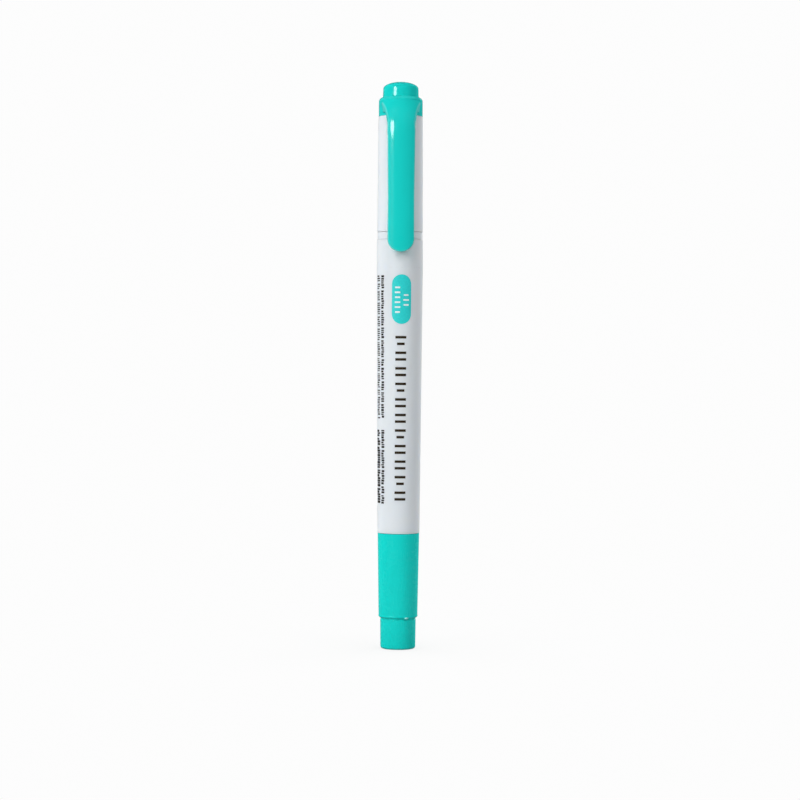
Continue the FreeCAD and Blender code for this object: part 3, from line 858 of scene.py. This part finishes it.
def build_print():
    """Badge with two plain ladders, a column of paired bars, and two columns of small bars."""
    badge_z, badge_turn, badge_half_length, badge_half_width = 87.05, 3.2, 6.14, 2.45
    badge_rows = capsule_rows(badge_z, badge_half_length, badge_half_width)
    print_piece("print_badge", [(badge_turn, badge_rows, 16)], badge_ink)

    rungs = []
    pick = random.Random(3)
    pitch, rung_half_height, rung_half_width = 1.22, 0.20, 0.73
    for turn, middle, count in ((badge_turn - 10.3, 86.9, 6), (badge_turn + 11.4, 86.85, 3)):
        for i in range(count):
            z = middle + pitch * ((count - 1) / 2 - i)
            half = rung_half_width * pick.uniform(0.8, 1.0)
            rungs.append((turn, bar_rows(z, rung_half_height, half), 4))
    print_piece("print_badge_rungs", rungs, white_ink, OVERPRINT_LIFT)

    marks = []
    marks_turn, first_z, last_z, groups = 1.8, 76.8, 38.3, 11
    apart, half_height, long_half, short_half = 0.82, 0.31, 1.36, 0.95
    for i in range(groups):
        middle = first_z + (last_z - first_z) * i / (groups - 1)
        lower_half = long_half if i % 3 else short_half
        for shift, half_width in ((apart, long_half), (-apart, lower_half)):
            marks.append((marks_turn, bar_rows(middle + shift, half_height, half_width), 8))
    print_piece("print_marks", marks, dark_ink)

    pick = random.Random(11)
    upper_top, upper_bottom, lower_top, lower_bottom = 93.0, 57.5, 54.6, 36.6
    small = bar_column(pick, -50.2, upper_top, upper_bottom, 0.52, 0.42, 0.16, 0.34)
    small += bar_column(pick, -49.6, lower_top, lower_bottom, 0.54, 0.42, 0.16, 0.34)
    small += bar_column(pick, -69.5, upper_top, upper_bottom, 0.80, 0.30, 0.22, 0.36)
    small += bar_column(pick, -71.5, lower_top, lower_bottom, 1.00, 0.48, 0.12, 0.30)
    print_piece("print_small_bars", small, small_print_ink)


# ------------------------------------------------------------------ carried-over CAD nodes

def dress_nodes():
    """Materials for the CAD nodes that are shown as they are."""
    looks = {
        "fine_cap_liner": milky,
        "broad_cap_liner": milky,
        "ink_reservoir": store_fibre,
        "reservoir_wrap": film,
    }
    for node, material in looks.items():
        piece = frame["nodes"][node]
        piece.data.materials.clear()
        piece.data.materials.append(material)


# ------------------------------------------------------------------ stage, light and camera

LIGHT_AIM = (0, 0, 0.127)
FLOOR_WHITE = 0.98
FLOOR_LIGHT = 20.0
CAMERA_ASIDE = math.radians(1.7)


def build_stage():
    """Pale floor that looks near white to the camera, with a light shadow round the pen's foot.

    Other rays see it as a soft glow that is weaker close to the pen, far away and in reflections.
    """
    half = 3.0 / MM
    points = [(-half, -half, 0), (half, -half, 0), (half, half, 0), (-half, half, 0)]
    n = Nodes("pale_floor")
    n.link(n.mix(n.noise(0.02, 2), (0.38, 0.38, 0.38), (0.42, 0.42, 0.42)), n.shader.inputs["Base Color"])
    n.shader.inputs["Roughness"].default_value = 0.9
    n.shader.inputs["Specular IOR Level"].default_value = 0.1
    path = n.add("ShaderNodeLightPath")
    seen = path.outputs["Is Camera Ray"]
    length = n.add("ShaderNodeVectorMath", operation="LENGTH")
    n.link(n.place, length.inputs[0])
    distance = length.outputs["Value"]
    glow = n.add("ShaderNodeEmission")
    near_pen = n.remap(distance, 0.004, 0.045, 0.35, 0.66)
    far_off = n.remap(distance, 0.1, 1.5, 1, 0)
    in_gloss = n.remap(path.outputs["Is Glossy Ray"], 0, 1, 1, 0.25)
    bounce = n.math("MULTIPLY", near_pen, far_off)
    bounce = n.math("MULTIPLY", bounce, in_gloss)
    direct = n.math("MULTIPLY", seen, FLOOR_WHITE)
    bounce = n.math("MULTIPLY", bounce, n.math("SUBTRACT", 1, seen))
    n.link(n.math("ADD", direct, bounce), glow.inputs["Strength"])
    fade = n.add("ShaderNodeMixShader")
    glow_share = n.remap(distance, 0.005, 0.10, 0.85, 1)
    n.link(n.math("MAXIMUM", glow_share, n.math("SUBTRACT", 1, seen)), fade.inputs["Fac"])
    n.link(n.shader.outputs["BSDF"], fade.inputs[1])
    n.link(glow.outputs["Emission"], fade.inputs[2])
    n.link(fade.outputs["Shader"], n.tree.nodes["Material Output"].inputs["Surface"])
    floor = add_piece("floor", points, [[0, 1, 2, 3]], n.material)


def around(azimuth, distance, elevation):
    """Point at an azimuth and elevation from the pen's clip, 0 in front and positive to the right."""
    turn, rise = math.radians(azimuth), math.radians(elevation)
    flat = distance * math.cos(rise)
    return Vector((flat * math.sin(turn), -flat * math.cos(turn), LIGHT_AIM[2] + distance * math.sin(rise)))


def soft_light(name, place, width, height, radiance, reflected=False):
    """Rectangular white light aimed at the pen. It is seen in reflections only, or lights surfaces only."""
    data = bpy.data.lights.new(name, "AREA")
    data.shape = "RECTANGLE"
    data.size = width
    data.size_y = height
    data.energy = radiance * math.pi * width * height
    lamp = bpy.data.objects.new(name, data)
    lamp.location = place
    lamp.rotation_mode = "QUATERNION"
    lamp.rotation_quaternion = (Vector(LIGHT_AIM) - place).to_track_quat("-Z", "Y")
    lamp.visible_glossy = reflected
    lamp.visible_diffuse = not reflected
    lamp.visible_camera = False
    bpy.context.scene.collection.objects.link(lamp)
    return lamp


def build_light():
    """Softbox at the upper left, soft fills round the pen, and a lamp above for the floor alone."""
    key_azimuth, key_distance, key_elevation = -40, 0.82, 15.6
    place = around(key_azimuth, key_distance, key_elevation)
    softbox = soft_light("softbox", place, 0.25, 0.24, 13.0, reflected=True)
    softbox.data.shape = "ELLIPSE"
    place = around(key_azimuth, key_distance, 0)
    soft_light("softbox_spill", place, 0.24, 0.20, 0.6, reflected=True)
    floor_only = bpy.data.collections.new("floor_only")
    floor_only.objects.link(bpy.data.objects["floor"])
    all_but_floor = bpy.data.collections.new("all_but_floor")
    all_but_floor.objects.link(bpy.data.objects["floor"])
    all_but_floor.collection_objects[0].light_linking.link_state = "EXCLUDE"
    fill_distance, fill_side = 0.95, 0.45
    left = ((-50, 20, 6.9), (-50, 50, 2.6), (-25, 20, 1.2), (-25, 50, 1.8))
    right = ((20, 35, 1.5), (55, 35, 2.9))
    behind = ((125, 20, 3.7), (150, 20, 16.7), (-128, 20, 7.3))
    for azimuth, elevation, radiance in left + right + behind:
        name = "fill_%d_%d" % (azimuth, elevation)
        fill = soft_light(name, around(azimuth, fill_distance, elevation), fill_side, fill_side, radiance)
        fill.light_linking.receiver_collection = all_but_floor
    overhead_distance, overhead_elevation, overhead_side = 1.2, 89, 0.9
    place = around(0, overhead_distance, overhead_elevation)
    overhead = soft_light("floor_light", place, overhead_side, overhead_side, FLOOR_LIGHT)
    overhead.light_linking.receiver_collection = floor_only


def build_surround():
    """White surround for the camera. Glossy pieces see it dimly, and a little brighter towards the back."""
    dim_front, dim_back = 0.05, 0.08
    world = bpy.data.worlds.new("surround")
    world.use_nodes = True
    bpy.context.scene.world = world
    tree = world.node_tree
    background = tree.nodes["Background"]
    path = tree.nodes.new("ShaderNodeLightPath")
    direction = tree.nodes.new("ShaderNodeSeparateXYZ")
    tree.links.new(tree.nodes.new("ShaderNodeTexCoord").outputs["Generated"], direction.inputs["Vector"])
    reflected = tree.nodes.new("ShaderNodeMapRange")
    tree.links.new(direction.outputs["Y"], reflected.inputs["Value"])
    limits = {"From Min": -0.2, "From Max": 0.9, "To Min": dim_front, "To Max": dim_back}
    for key, number in limits.items():
        reflected.inputs[key].default_value = number
    glossy = tree.nodes.new("ShaderNodeMath")
    glossy.operation = "MULTIPLY"
    tree.links.new(path.outputs["Is Glossy Ray"], glossy.inputs[0])
    tree.links.new(reflected.outputs["Result"], glossy.inputs[1])
    seen = tree.nodes.new("ShaderNodeMath")
    seen.operation = "MULTIPLY_ADD"
    seen.inputs[1].default_value = FLOOR_WHITE
    tree.links.new(path.outputs["Is Camera Ray"], seen.inputs[0])
    tree.links.new(glossy.outputs["Value"], seen.inputs[2])
    tree.links.new(seen.outputs["Value"], background.inputs["Strength"])
    background.inputs["Color"].default_value = (1, 1, 1, 1)


def build_camera():
    """Level camera at half the pen's height, a little to the left of straight in front of the clip."""
    distance, eye_height, frame_centre_height, frame_width = 0.545, 0.0705, 0.0620, 0.200
    roll, sideways = math.radians(0.32), 0.65 / 800
    data = bpy.data.cameras.new("camera")
    data.sensor_width = 36.0
    data.lens = data.sensor_width * distance / frame_width
    data.shift_x = sideways
    data.shift_y = (frame_centre_height - eye_height) / frame_width
    camera = bpy.data.objects.new("camera", data)
    along = Vector((math.sin(CAMERA_ASIDE), math.cos(CAMERA_ASIDE), 0))
    camera.location = (-distance * along.x, -distance * along.y, eye_height)
    camera.rotation_mode = "QUATERNION"
    level = along.to_track_quat("-Z", "Y")
    camera.rotation_quaternion = level @ Quaternion((0, 0, 1), roll)
    bpy.context.scene.collection.objects.link(camera)
    bpy.context.scene.camera = camera


def build_stand():
    """Stand that turns with the camera about the vertical and carries the lamps round the pen with it."""
    stand = bpy.data.objects.new("light_stand", None)
    bpy.context.scene.collection.objects.link(stand)
    turning = stand.constraints.new("LOCKED_TRACK")
    turning.target = bpy.context.scene.camera
    turning.track_axis = "TRACK_NEGATIVE_Y"
    turning.lock_axis = "LOCK_Z"
    for lamp in bpy.context.scene.objects:
        if lamp.type == "LIGHT":
            lamp.parent = stand
            lamp.matrix_parent_inverse = Matrix.Rotation(CAMERA_ASIDE, 4, "Z")


build_fine_cap()
build_gate_mark()
build_barrel()
build_nibs()
build_holders()
build_sleeve()
build_clip()
build_button()
build_print()
dress_nodes()
build_stage()
build_light()
build_surround()
build_camera()
build_stand()
bpy.context.scene.view_settings.view_transform = "Standard"

bpy.context.view_layer.update()
